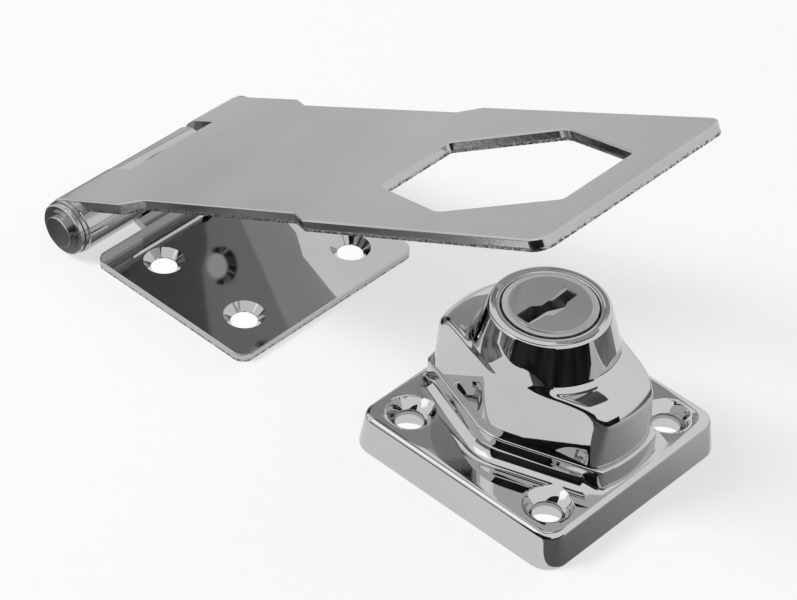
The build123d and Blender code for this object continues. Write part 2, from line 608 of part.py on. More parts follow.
def retaining_ring():
    """Snap ring in the hub's groove."""
    inner = HUB_RADIUS - RING_GROOVE_DEPTH + FIT_GAP
    ring = ring_between(inner, RING_RADIUS, RING_TOP - RING_THICK, RING_TOP)
    half = RING_MOUTH / 2
    return ring - box_between((-half, 0, 0), (half, FAR, FAR))


def build():
    """Every piece in its place, by name."""
    pin_line = RAISED * Rot(-90, 0, 0)
    washer_place = STRAP_WIDTH / 2 + PIN_END_GAP
    pieces = {
        "hinge_leaf": HINGE * hinge_leaf(),
        "hinge_strap": RAISED * hinge_strap(),
        "hinge_pin": pin_line * hinge_pin(),
        "front_pin_washer": pin_line * Pos(0, 0, -washer_place - WASHER_THICK) * pin_washer(),
        "back_pin_washer": pin_line * Pos(0, 0, washer_place) * pin_washer(),
        "lock_base": lock_base(),
        "turn_knob": turn_knob(),
        "key_plug": key_plug(),
        "drive_pin": drive_pin(),
        "plug_clip": plug_clip(),
        "locking_bolt": locking_bolt(),
        "hub_cap": hub_cap(),
        "stop_washer": stop_washer(),
        "spring_washer": spring_washer(),
        "retaining_ring": retaining_ring(),
        "wafer_springs": wafer_springs(),
    }
    for index in range(WAFER_COUNT):
        pieces[f"wafer_{index + 1}"] = wafer(index)
    return pieces


if __name__ == "__main__":
    os.makedirs("parts", exist_ok=True)
    for name, piece in build().items():
        export_step(piece, f"parts/{name}.step")
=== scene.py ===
# Looks for the keyed turn-knob hasp: chrome materials, a small white studio and the photograph's camera.
import bmesh
import bpy
import json
import math
import numpy as np
from mathutils import Matrix, Vector


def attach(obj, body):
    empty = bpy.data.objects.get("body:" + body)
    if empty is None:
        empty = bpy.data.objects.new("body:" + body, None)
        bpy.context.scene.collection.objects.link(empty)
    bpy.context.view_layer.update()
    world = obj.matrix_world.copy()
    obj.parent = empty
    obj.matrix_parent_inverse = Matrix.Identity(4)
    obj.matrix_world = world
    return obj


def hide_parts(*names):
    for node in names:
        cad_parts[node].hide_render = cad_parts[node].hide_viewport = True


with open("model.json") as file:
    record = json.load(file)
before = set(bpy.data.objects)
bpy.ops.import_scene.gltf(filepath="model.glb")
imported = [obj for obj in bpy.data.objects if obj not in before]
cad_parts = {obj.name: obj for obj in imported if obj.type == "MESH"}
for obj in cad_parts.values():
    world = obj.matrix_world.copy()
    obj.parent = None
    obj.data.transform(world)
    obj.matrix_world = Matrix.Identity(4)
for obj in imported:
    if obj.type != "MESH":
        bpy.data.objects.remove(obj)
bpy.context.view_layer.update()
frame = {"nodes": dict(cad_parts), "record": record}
nodes = frame["nodes"]

MM = 0.001

# Camera fitted to the photograph: focal length in pixels of a 797 px frame, place in metres, view axes
FRAME_WIDTH = 797
FOCAL_PX = 3120.2
CAMERA_PLACE = (0.213254, -0.283267, 0.329078)
VIEW_RIGHT = (0.72927, 0.68238, 0.05028)
VIEW_AHEAD = (-0.49549, 0.57735, -0.64897)
SENSOR = 36.0


class Graph:
    """A material's node tree, with short calls to add nodes and links."""

    def __init__(self, name):
        self.material = bpy.data.materials.new(name)
        self.material.use_nodes = True
        self.tree = self.material.node_tree
        self.tree.nodes.clear()

    def add(self, kind, **values):
        node = self.tree.nodes.new(kind)
        for key, value in values.items():
            setattr(node, key, value)
        return node

    def put(self, node, **values):
        for key, value in values.items():
            socket = node.inputs[key.replace("_", " ")]
            if hasattr(value, "is_linked"):
                self.tree.links.new(value, socket)
            else:
                socket.default_value = value
        return node

    def link(self, source, target):
        self.tree.links.new(source, target)

    def noise(self, scale, detail=2.0, rough=0.5, stretch=(1, 1, 1), turn=(0, 0, 0)):
        where = self.add("ShaderNodeTexCoord")
        mapping = self.add("ShaderNodeMapping")
        mapping.inputs["Scale"].default_value = stretch
        mapping.inputs["Rotation"].default_value = turn
        self.link(where.outputs["Object"], mapping.inputs["Vector"])
        noise = self.add("ShaderNodeTexNoise")
        self.put(noise, Scale=scale, Detail=detail, Roughness=rough)
        self.link(mapping.outputs["Vector"], noise.inputs["Vector"])
        return noise.outputs["Fac"]

    def dot(self, output, direction):
        where = self.add("ShaderNodeTexCoord")
        node = self.add("ShaderNodeVectorMath", operation="DOT_PRODUCT")
        node.inputs[1].default_value = direction
        self.link(where.outputs[output], node.inputs[0])
        return node.outputs["Value"]

    def span(self, source, low, high, to_low=0.0, to_high=1.0):
        node = self.add("ShaderNodeMapRange", clamp=True)
        node.inputs["From Min"].default_value = low
        node.inputs["From Max"].default_value = high
        node.inputs["To Min"].default_value = to_low
        node.inputs["To Max"].default_value = to_high
        self.link(source, node.inputs["Value"])
        return node.outputs["Result"]

    def math(self, operation, a, b=0.0):
        node = self.add("ShaderNodeMath", operation=operation)
        for socket, value in zip(node.inputs, (a, b)):
            if hasattr(value, "is_linked"):
                self.link(value, socket)
            else:
                socket.default_value = value
        return node.outputs["Value"]

    def mix(self, factor, low, high):
        node = self.add("ShaderNodeMix", data_type="RGBA")
        for socket, value in ((node.inputs[0], factor), (node.inputs[6], low), (node.inputs[7], high)):
            if hasattr(value, "is_linked"):
                self.link(value, socket)
            else:
                socket.default_value = value if socket.type == "VALUE" else (*value, 1.0)
        return node.outputs[2]

    def bump(self, height, strength, distance, normal=None):
        node = self.add("ShaderNodeBump")
        node.inputs["Strength"].default_value = strength
        node.inputs["Distance"].default_value = distance
        self.link(height, node.inputs["Height"])
        if normal is not None:
            self.link(normal, node.inputs["Normal"])
        return node.outputs["Normal"]

    def metal(self, color, roughness, normal):
        shader = self.add("ShaderNodeBsdfPrincipled")
        shader.inputs["Metallic"].default_value = 1.0
        self.put(shader, Base_Color=color, Roughness=roughness, Normal=normal)
        out = self.add("ShaderNodeOutputMaterial")
        self.link(shader.outputs["BSDF"], out.inputs["Surface"])
        return self.material


# Place of the raised strap's sheet: hinge axis, direction along the sheet and square to it
RAISE = math.radians(27)
HINGE = (-84 * MM, 0.0, 5 * MM)
ALONG = (math.cos(RAISE), 0.0, math.sin(RAISE))
SQUARE = (-math.sin(RAISE), 0.0, math.cos(RAISE))


def chrome(name, tone, rough, wave, wave_size, sheet=None):
    """Polished chrome: faint waves of the metal below, fine scratches and the torn rim of sheared sides.

    sheet gives the axis square to the sheet, a point to measure from, the direction along the sheet,
    how far along it the sheared sides start, the height of the torn face and the width of its band.
    """
    g = Graph(name)
    haze = g.noise(900, 3.0, 0.6)
    patch = g.noise(60, 2.0, 0.5)
    color = g.mix(g.span(patch, 0.35, 0.65), [c * 0.95 for c in tone], tone)
    roughness = g.span(haze, 0.3, 0.7, rough * 0.8, rough * 1.25)
    normal = g.bump(g.noise(wave_size, 2.0, 0.4), 1.0, wave)
    normal = g.bump(haze, 0.04, 0.00002, normal)
    if sheet is not None:
        square, origin, along, start, low, band = sheet
        origin_height = sum(a * b for a, b in zip(square, origin))
        origin_reach = sum(a * b for a, b in zip(along, origin))
        side = g.math("ABSOLUTE", g.dot("Normal", square))
        side = g.span(side, 0.3, 0.5, 1.0, 0.0)
        height = g.math("SUBTRACT", g.dot("Object", square), origin_height)
        reach = g.math("SUBTRACT", g.dot("Object", along), origin_reach)
        side = g.math("MULTIPLY", side, g.math("GREATER_THAN", reach, start))
        grain = g.noise(1500, 3.0, 0.6)
        edge = g.math("ADD", height, g.span(grain, 0.3, 0.7, -0.25 * band, 0.25 * band))
        torn = g.math("MULTIPLY", side, g.span(edge, low + 0.5 * band, low + 1.1 * band, 1.0, 0.0))
        speck = g.math("MULTIPLY", torn, g.span(g.noise(2200, 2.0, 0.5), 0.44, 0.56))
        color = g.mix(g.math("MULTIPLY", speck, 0.9), color, [c * 0.12 for c in tone])
        roughness = g.math("ADD", roughness, g.math("MULTIPLY", side, 0.08))
        roughness = g.math("ADD", roughness, g.math("MULTIPLY", torn, 0.2))
        streak = g.noise(1400, 2.0, 0.5)
        normal = g.bump(g.math("MULTIPLY", streak, side), 0.25, 0.00005, normal)
        normal = g.bump(g.math("MULTIPLY", grain, torn), 0.6, 0.00015, normal)
    return g.metal(color, roughness, normal)


STRAP_SHEET = (SQUARE, HINGE, ALONG, 5.2 * MM, 2.95 * MM, 0.5 * MM)
LEAF_SHEET = ((0.0, 0.0, 1.0), (HINGE[0], 0.0, 0.0), (1.0, 0.0, 0.0), 5.6 * MM, 0.0, 0.45 * MM)
CHROME = (0.5, 0.5, 0.505)

strap_chrome = chrome("strap_chrome", CHROME, 0.07, 0.00003, 45, STRAP_SHEET)
leaf_chrome = chrome("leaf_chrome", CHROME, 0.035, 0.00002, 40, LEAF_SHEET)
pin_chrome = chrome("pin_chrome", (0.45, 0.45, 0.455), 0.16, 0.00002, 150)
cast_chrome = chrome("cast_chrome", (0.57, 0.57, 0.575), 0.03, 0.00004, 70)
plug_chrome = chrome("plug_chrome", (0.58, 0.58, 0.585), 0.08, 0.00004, 160)
keyway_metal = chrome("keyway_broached", (0.6, 0.6, 0.605), 0.36, 0.00004, 260)
brass = chrome("wafer_brass_worn", (0.78, 0.75, 0.68), 0.2, 0.00001, 300)
steel = chrome("plain_steel_zinc", (0.55, 0.55, 0.56), 0.25, 0.00002, 200)

LOOKS = {
    "chromed_steel": strap_chrome,
    "chromed_casting": cast_chrome,
    "plug_metal": plug_chrome,
    "wafer_brass": brass,
    "plain_steel": steel,
}
for entry in frame["record"]["subparts"]:
    part = nodes[entry["node"]]
    part.data.materials.clear()
    part.data.materials.append(LOOKS[entry["material_slot"]])
for name in ("hinge_pin", "front_pin_washer", "back_pin_washer"):
    nodes[name].data.materials[0] = pin_chrome
nodes["hinge_leaf"].data.materials[0] = leaf_chrome
nodes["key_plug"].data.materials[0] = keyway_metal


# Turn knob in millimetres: the solid's form with a fuller dome, more draft on its flanks and rounded ridges
TURNS = 420
ANGLES = np.linspace(0, 2 * math.pi, TURNS, endpoint=False)
KNOB_RADIUS = 17.9
KNOB_FOOT = 10.3
KNOB_HALF_WIDTH = 12.7
FLANK_SLOPE = 12.8 / 35.8
MID_RADIUS = 9.0
DRAFT = math.radians(1.5)
FLANK_DRAFT = math.radians(4.6)
DOME_TOP = 21.0
DOME_CROWN = 0.03
DOME_ROUND = 2.8
CONE_FOOT = (11.5, 20.8)
CONE_TOP = (9.3, 28.2)
CONE_BLEND = 1.0
RIM_ROUND = 0.45
FLANK_BLEND = 2.3
RIDGE_ROUND = 1.2
RIDGE_LOSS = 0.5
RIDGE_FADE_START = 17.0
RIDGE_FADE_HEIGHT = 3.0

# The skin is found along rays from a point on the knob's axis, at these rises in radians
RAY_START = 15.0
RAY_NEAR = 4.0
RAY_FAR = 26.0
RAY_HALVINGS = 26
SHOULDER_RISE = 0.72
TOP_RISE = 1.04

# Bore from the top down, then the hub from its foot up, as radius and height
BORE = [
    (7.8, 28.2), (7.65, 28.13), (7.6, 28.0), (7.6, 26.5), (6.35, 26.5),
    (6.35, 10.9), (4.5, 10.9), (4.5, 10.0), (6.2, 10.0), (6.2, 1.9),
]
HUB_RADIUS = 7.95
HUB_NECK = HUB_RADIUS - 0.8
HUB_FLAT = 7.3
HUB_TOP = 5.6
HUB = [
    (HUB_RADIUS, 1.9), (HUB_RADIUS, 2.48), (HUB_NECK, 2.48),
    (HUB_NECK, 3.44), (HUB_RADIUS, 3.44), (HUB_RADIUS, HUB_TOP),
]

# Cuts in the knob: the wafers' crossed grooves and the locking bolt's window
GROOVE_REACH = 7.15
GROOVE_HALF = 3.15
GROOVE_HEIGHTS = (12.1, 24.8)
WINDOW_HALF = 2.58
BOLT_HEIGHTS = (6.55, 8.75)


def soft_min(a, b, width):
    """The smaller of two values, blended over a width."""
    blend = np.clip(width - np.abs(a - b), 0, None) / width
    return np.minimum(a, b) - blend * blend * width / 4


def soft_max(a, b, width):
    """The larger of two values, blended over a width."""
    return -soft_min(-a, -b, width)


def round_max(a, b, radius):
    """The larger of two distances, with a round edge where they meet."""
    corner = np.hypot(np.clip(a + radius, 0, None), np.clip(b + radius, 0, None))
    return np.minimum(np.maximum(a, b), -radius) + corner


def knob_depth(x, y, z):
    """Distance outside the knob's skin, negative inside: drafted wall, crowned dome, cone and flanks."""
    r = np.hypot(x, y)
    wall = (r - KNOB_RADIUS) * math.cos(DRAFT) + (z - KNOB_FOOT) * math.sin(DRAFT)
    crown = z - DOME_TOP + DOME_CROWN * np.clip(r - CONE_FOOT[0], 0, None) ** 2
    dome = round_max(wall, crown, DOME_ROUND)
    lean = math.atan2(CONE_FOOT[0] - CONE_TOP[0], CONE_TOP[1] - CONE_FOOT[1])
    cone = (r - CONE_TOP[0]) * math.cos(lean) + (z - CONE_TOP[1]) * math.sin(lean)
    cone = round_max(cone, z - CONE_TOP[1], RIM_ROUND)
    body = soft_min(dome, cone, CONE_BLEND)
    turn = math.atan(FLANK_SLOPE)
    half = KNOB_HALF_WIDTH * math.cos(turn)
    sides = [np.abs(y) * math.cos(turn) + way * x * math.sin(turn) for way in (-1, 1)]
    out = soft_max(sides[0], sides[1], FLANK_BLEND) - half
    flank = out * math.cos(FLANK_DRAFT) + (z - KNOB_FOOT) * math.sin(FLANK_DRAFT)
    ridge = RIDGE_ROUND - RIDGE_LOSS * np.clip((z - RIDGE_FADE_START) / RIDGE_FADE_HEIGHT, 0, 1)
    return round_max(flank, body, ridge)


def flank_reach(half_width, mid_radius):
    """Distance from the axis to the rounded flanks, along each direction."""
    c, s = np.abs(np.cos(ANGLES)), np.abs(np.sin(ANGLES))
    straight = half_width / (s + FLANK_SLOPE * c + 1e-9)
    lean = math.atan(FLANK_SLOPE)
    middle = half_width - mid_radius / math.cos(lean)
    curved = middle * s + np.sqrt(np.clip((middle * s) ** 2 - middle ** 2 + mid_radius ** 2, 0, None))
    return np.where(straight * c < mid_radius * math.sin(lean), curved, straight)


def skin(name, rings, material):
    """A closed skin from rings of points in millimetres, the last ring joined to the first."""
    rings = np.array(rings) * MM
    rows, turns = rings.shape[:2]
    faces = []
    for i in range(rows):
        low, high = i * turns, (i + 1) % rows * turns
        for j in range(turns):
            k = (j + 1) % turns
            faces.append((low + j, low + k, high + k, high + j))
    mesh = bpy.data.meshes.new(name)
    mesh.from_pydata(rings.reshape(-1, 3).tolist(), [], faces)
    mesh.materials.append(material)
    piece = bpy.data.objects.new(name, mesh)
    bpy.context.scene.collection.objects.link(piece)
    return piece


def ring(reach, height):
    """Points round the axis at one height, or at one height each."""
    reach, height = (np.broadcast_to(value, ANGLES.shape) for value in (reach, height))
    return np.stack([reach * np.cos(ANGLES), reach * np.sin(ANGLES), height], 1)


def shade(piece):
    """Smooth faces, with edges kept sharp above an angle."""
    sharp = math.radians(38)
    bm = bmesh.new()
    bm.from_mesh(piece.data)
    bmesh.ops.recalc_face_normals(bm, faces=bm.faces)
    for face in bm.faces:
        face.smooth = True
    for edge in bm.edges:
        edge.smooth = len(edge.link_faces) == 2 and edge.calc_face_angle(0) < sharp
    bm.to_mesh(piece.data)
    bm.free()


def prism(outline, low, high):
    """A cutter with an outline in the XY plane, between two heights."""
    bm = bmesh.new()
    rows = [[bm.verts.new((x * MM, y * MM, z * MM)) for x, y in outline] for z in (low, high)]
    for i in range(len(outline)):
        k = (i + 1) % len(outline)
        bm.faces.new((rows[0][i], rows[0][k], rows[1][k], rows[1][i]))
    for row in rows:
        bm.faces.new(row)
    bmesh.ops.recalc_face_normals(bm, faces=bm.faces)
    return bm


def spin(profile, place, turns=96):
    """A cutter turned from a profile of (radius, height), closed by its two end discs."""
    bm = bmesh.new()
    angles = [2 * math.pi * i / turns for i in range(turns)]
    rows = []
    for radius, height in profile:
        spots = [(place[0] + radius * math.cos(a), place[1] + radius * math.sin(a)) for a in angles]
        rows.append([bm.verts.new((x * MM, y * MM, height * MM)) for x, y in spots])
    for low, high in zip(rows, rows[1:]):
        for i in range(turns):
            k = (i + 1) % turns
            bm.faces.new((low[i], low[k], high[k], high[i]))
    bm.faces.new(rows[0])
    bm.faces.new(rows[-1])
    bmesh.ops.recalc_face_normals(bm, faces=bm.faces)
    return bm


def cut(piece, tools):
    """Takes cutters that don't touch each other away from a piece."""
    whole = bmesh.new()
    for tool in tools:
        mesh = bpy.data.meshes.new("cutter")
        tool.to_mesh(mesh)
        tool.free()
        whole.from_mesh(mesh)
        bpy.data.meshes.remove(mesh)
    mesh = bpy.data.meshes.new("cutters")
    whole.to_mesh(mesh)
    whole.free()
    cutter = bpy.data.objects.new("cutters", mesh)
    bpy.context.scene.collection.objects.link(cutter)
    modifier = piece.modifiers.new("cut", "BOOLEAN")
    modifier.operation = "DIFFERENCE"
    modifier.solver = "EXACT"
    modifier.object = cutter
    bpy.context.view_layer.update()
    shown = piece.evaluated_get(bpy.context.evaluated_depsgraph_get())
    result = bpy.data.meshes.new_from_object(shown)
    piece.modifiers.clear()
    piece.data = result
    bpy.data.objects.remove(cutter)


def smooth_skin(piece, depth, least_radius, least_height):
    """Takes the shading of the outer skin from the formula of its shape, so highlights run clean."""
    step = near = 0.01
    places = np.empty(len(piece.data.vertices) * 3)
    piece.data.vertices.foreach_get("co", places)
    x, y, z = places.reshape(-1, 3).T / MM
    slopes = np.stack([
        depth(x + step, y, z) - depth(x - step, y, z),
        depth(x, y + step, z) - depth(x, y - step, z),
        depth(x, y, z + step) - depth(x, y, z - step),
    ], 1)
    slopes /= np.linalg.norm(slopes, axis=1)[:, None] + 1e-9
    outside = (np.abs(depth(x, y, z)) < near) & (np.hypot(x, y) > least_radius) & (z > least_height)
    piece.data.normals_split_custom_set_from_vertices(np.where(outside[:, None], slopes, 0.0).tolist())


def knob_piece():
    """Dome, conical collar and flanks in one skin, with the bore and hub below."""
    foot_rise = math.atan2(KNOB_FOOT - RAY_START, KNOB_RADIUS)
    rise = np.concatenate([
        np.linspace(foot_rise, SHOULDER_RISE, 190),
        np.linspace(SHOULDER_RISE, TOP_RISE, 60)[1:],
    ])
    ways, turns = np.meshgrid(rise, ANGLES, indexing="ij")
    ahead = (np.cos(ways) * np.cos(turns), np.cos(ways) * np.sin(turns), np.sin(ways))
    near, far = np.full(ways.shape, RAY_NEAR), np.full(ways.shape, RAY_FAR)
    for _ in range(RAY_HALVINGS):
        middle = (near + far) / 2
        inside = knob_depth(ahead[0] * middle, ahead[1] * middle, RAY_START + ahead[2] * middle) < 0
        near, far = np.where(inside, middle, near), np.where(inside, far, middle)
    heights = np.maximum(RAY_START + ahead[2] * near, KNOB_FOOT)
    shell = np.stack([ahead[0] * near, ahead[1] * near, heights], 2)
    shell = shell[np.hypot(shell[..., 0], shell[..., 1]).min(axis=1) > CONE_TOP[0] - 1.0]
    flat = HUB_FLAT / (np.abs(np.sin(ANGLES)) + 1e-9)
    rings = list(shell)
    rings += [ring(radius, height) for radius, height in BORE]
    rings += [ring(np.minimum(radius, flat), height) for radius, height in HUB]
    rings += [ring(HUB_RADIUS, height) for height in (HUB_TOP + 0.01, KNOB_FOOT)]
    piece = skin("knob_skin", rings, cast_chrome)
    x, y = GROOVE_REACH, GROOVE_HALF
    cross = [
        (x, -y), (x, y), (y, y), (y, x), (-y, x), (-y, y),
        (-x, y), (-x, -y), (-y, -y), (-y, -x), (y, -x), (y, -y),
    ]
    reach, side = 2 * HUB_RADIUS, WINDOW_HALF
    window = [(0, -side), (reach, -side), (reach, side), (0, side)]
    cut(piece, [prism(cross, *GROOVE_HEIGHTS), prism(window, *BOLT_HEIGHTS)])
    shade(piece)
    smooth_skin(piece, knob_depth, CONE_TOP[0] - 0.8, KNOB_FOOT + 0.05)
    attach(piece, "knob")
    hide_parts("turn_knob")


# Lock base in millimetres: the solid's form with a wide soft skirt, and screw holes relieved from behind
PLATE_HALF = 20.5
PLATE_HEIGHT = 6.2
PLATE_CORNER = 3.8
PLATE_DRAFT = math.radians(8.0)
PLATE_EDGE = 1.0
PEDESTAL_TOP = 10.2
PEDESTAL_HALF_WIDTH = 12.9
PEDESTAL_END = 18.6
END_RADIUS = 26.0
END_BLEND = 0.9
TOP_EDGE = 0.4
SKIRT = 2.7
LEAST_SKIRT = 0.12
HOLE_PITCH = 28.0
BORE_RADIUS = 8.0
POCKET_RADIUS = 11.0
POCKET_TOP = 5.6

# A screw hole as radius and height, from below: relief, bore, countersink and its rounded rim
SCREW_HOLE = [
    (4.2, -1.0), (4.2, 2.9), (4.0, 3.1), (2.25, 3.1), (2.25, 4.6),
    (2.35, 4.75), (3.7, 6.1), (3.95, 6.22), (5.0, 7.2),
]

# Recesses for the bolt in two sides of the bore, and the groove that the knob's stop runs in
RECESS_REACH = 10.35
RECESS_HALF = 2.66
STOP_RADII = (8.62, 10.38)
STOP_ANGLES = (math.radians(190), math.radians(306))
STOP_HEIGHTS = (5.0, 6.45)


def plate_reach(inset):
    """Distance from the axis to the rounded square, pulled in by an inset."""
    c, s = np.abs(np.cos(ANGLES)), np.abs(np.sin(ANGLES))
    half, corner = PLATE_HALF - inset, max(PLATE_CORNER - inset, 0.3)
    straight = half / np.maximum(c, s)
    middle = half - corner
    room = (middle * (c + s)) ** 2 - 2 * middle ** 2 + corner ** 2
    curved = middle * (c + s) + np.sqrt(np.clip(room, 0, None))
    return np.where(straight * np.minimum(c, s) > middle, curved, straight)


def pedestal_reach(out):
    """Distance from the axis to the pedestal's outline, moved out by a distance in each direction."""
    out = np.broadcast_to(out, ANGLES.shape)
    half = PEDESTAL_HALF_WIDTH + out * math.hypot(1, FLANK_SLOPE)
    flanks = flank_reach(half, MID_RADIUS + out)
    middle = PEDESTAL_END - END_RADIUS
    c, s = np.abs(np.cos(ANGLES)), np.sin(ANGLES)
    ends = middle * c + np.sqrt((END_RADIUS + out) ** 2 - (middle * s) ** 2)
    return soft_min(flanks, ends, END_BLEND + 0.3 * out)


def base_piece():
    """Plate, skirt and pedestal in one skin, with the pocket, holes and recesses cut into it."""
    foot = pedestal_reach(0.0)
    edge_inset = PLATE_EDGE * math.tan((math.radians(90) - PLATE_DRAFT) / 2)
    inset = PLATE_HEIGHT * math.tan(PLATE_DRAFT) + edge_inset
    plate_start = plate_reach(inset)
    turn = np.gradient(foot, ANGLES)
    square = foot / np.hypot(foot, turn)
    skirt = np.clip((plate_start - foot) * square * 0.8, LEAST_SKIRT, SKIRT)
    mouth = BORE_RADIUS + 0.1
    bore = ((BORE_RADIUS, POCKET_TOP), (BORE_RADIUS, PEDESTAL_TOP - 0.1), (mouth, PEDESTAL_TOP))
    rings = [ring(radius, height) for radius, height in bore]
    for share in (0.25, 0.5, 0.75, 0.9):
        rings.append(ring(mouth + (pedestal_reach(-TOP_EDGE) - mouth) * share, PEDESTAL_TOP))
    edge_foot = PEDESTAL_TOP - TOP_EDGE
    for angle in np.radians(np.linspace(90, 0, 6)):
        out = TOP_EDGE * math.cos(angle) - TOP_EDGE
        rings.append(ring(pedestal_reach(out), edge_foot + TOP_EDGE * math.sin(angle)))
    top_of_skirt = PLATE_HEIGHT + skirt
    for share in np.linspace(0.15, 0.85, 8):
        rings.append(ring(foot, edge_foot + (top_of_skirt - edge_foot) * share))
    for angle in np.radians(np.linspace(0, 90, 14)):
        out = skirt * (1 - math.cos(angle))
        rings.append(ring(pedestal_reach(out), PLATE_HEIGHT + skirt * (1 - math.sin(angle))))
    end_of_skirt = pedestal_reach(skirt)
    for share in np.linspace(0.1, 1.0, 10):
        rings.append(ring(end_of_skirt + (plate_start - end_of_skirt) * share, PLATE_HEIGHT))
    for angle in np.linspace(math.radians(90), PLATE_DRAFT, 8)[1:]:
        in_by = inset - PLATE_EDGE * math.cos(angle)
        rings.append(ring(plate_reach(in_by), PLATE_HEIGHT - PLATE_EDGE * (1 - math.sin(angle))))
    side_top = PLATE_HEIGHT - PLATE_EDGE * (1 - math.sin(PLATE_DRAFT))
    side_foot = 0.25
    for share in np.linspace(0, 1, 12)[1:]:
        height = side_top + (side_foot - side_top) * share
        rings.append(ring(plate_reach(height * math.tan(PLATE_DRAFT)), height))
    rings += [ring(plate_reach(0.06), 0.08), ring(plate_reach(0.3), 0.0)]
    pocket = ((POCKET_RADIUS + 0.2, 0.0), (POCKET_RADIUS, 0.15), (POCKET_RADIUS, POCKET_TOP))
    rings += [ring(radius, height) for radius, height in pocket]
    piece = skin("base_skin", rings, cast_chrome)
    half = HOLE_PITCH / 2
    tools = [spin(SCREW_HOLE, (x * half, y * half)) for x in (-1, 1) for y in (-1, 1)]
    reach, side = RECESS_REACH, RECESS_HALF
    recess = [(reach, -side), (reach, side), (side, side), (side, reach), (-side, reach), (-side, -side)]
    tools.append(prism(recess, *BOLT_HEIGHTS))
    ways = np.linspace(*STOP_ANGLES, 40)
    groove = [(STOP_RADII[0], a) for a in ways] + [(STOP_RADII[1], a) for a in ways[::-1]]
    tools.append(prism([(r * math.cos(a), r * math.sin(a)) for r, a in groove], *STOP_HEIGHTS))
    cut(piece, tools)
    shade(piece)
    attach(piece, "fixed_parts")
    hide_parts("lock_base")


# Plug face: a thin dished cap on the plug, its opening a little larger than the keyway below
DISH_LOW = 27.95
DISH_DEPTH = 0.35
DISH_RADIUS = 6.7
CAP_RADIUS = 6.4
CAP_THICK = 0.2
CAP_EDGE = 0.12
CAP_CENTRE = 0.02
OPENING = [
    (-1.95, -5.9), (-1.9, -2.4), (-0.9, -1.0), (-0.95, 1.3), (-1.35, 4.75), (1.3, 4.6),
    (1.3, 2.3), (1.9, 1.1), (1.8, -1.4), (0.95, -2.2), (0.85, -5.6),
]


def face_piece():
    """The cap with its stepped opening."""
    def dish(radius):
        return DISH_LOW + DISH_DEPTH * (radius / DISH_RADIUS) ** 2

    flat = CAP_RADIUS - CAP_EDGE
    profile = [(radius, dish(radius) + CAP_THICK) for radius in np.linspace(CAP_CENTRE, flat, 40)]
    height = dish(CAP_RADIUS) + CAP_THICK - CAP_EDGE
    bend = (0.4, 0.8, 1.2, 1.57)
    profile += [(flat + CAP_EDGE * math.sin(a), height + CAP_EDGE * math.cos(a)) for a in bend]
    profile += [(radius, dish(radius) + 0.01) for radius in np.linspace(CAP_RADIUS, CAP_CENTRE, 12)]
    piece = skin("plug_face", [ring(radius, height) for radius, height in profile], plug_chrome)
    cut(piece, [prism(OPENING, 27.0, 29.0)])
    shade(piece)
    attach(piece, "plug")


# Leaf's middle curl: in the photograph it is nearly as thick as the strap's knuckles
CURL_FRONT = -8.45
CURL_BACK = 8.15
CURL_INNER = 4.33
CURL_OUTER = 4.76
CURL_EDGE = 0.15
CURL_ARC = (math.radians(34), math.radians(232))
CURL_STEPS = 100


def curl_piece():
    """An outer layer round the back and top of the leaf's curl, with softened ends."""
    section = [(CURL_INNER, CURL_FRONT)]
    for end, way in ((CURL_FRONT, 1), (CURL_BACK, -1)):
        bend = [(CURL_OUTER - CURL_EDGE * (1 - math.sin(a)), end + way * CURL_EDGE * (1 - math.cos(a)))
                for a in np.linspace(0, math.pi / 2, 5)]
        section += bend if way == 1 else bend[::-1]
    section.append((CURL_INNER, CURL_BACK))
    bm = bmesh.new()
    rows = []
    for angle in np.linspace(*CURL_ARC, CURL_STEPS):
        c, s = math.cos(angle) * MM, math.sin(angle) * MM
        spots = [(HINGE[0] + r * c, y * MM, HINGE[2] + r * s) for r, y in section]
        rows.append([bm.verts.new(spot) for spot in spots])
    for low, high in zip(rows, rows[1:]):
        for i in range(len(section)):
            k = (i + 1) % len(section)
            bm.faces.new((low[i], low[k], high[k], high[i]))
    bm.faces.new(rows[0])
    bm.faces.new(rows[-1])
    mesh = bpy.data.meshes.new("leaf_curl")
    bm.to_mesh(mesh)
    bm.free()
    mesh.materials.append(leaf_chrome)
    piece = bpy.data.objects.new("leaf_curl", mesh)
    bpy.context.scene.collection.objects.link(piece)
    shade(piece)
    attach(piece, "fixed_parts")


knob_piece()
base_piece()
face_piece()
curl_piece()


# Share of the floor's glow in the open, and below the two screwed plates, where only holes show it: there
# the floor glows almost white, painted light over the plates' shade.
# Each plate gives the middle of its patch in x, then the patch's half width in x and in y.
GLOW = 0.6
UNDER_PLATE_PAINTED_LIGHT = 0.97
UNDER_PLATES = ((0.0, 0.0185, 0.0185), (-0.0625, 0.0155, 0.02))


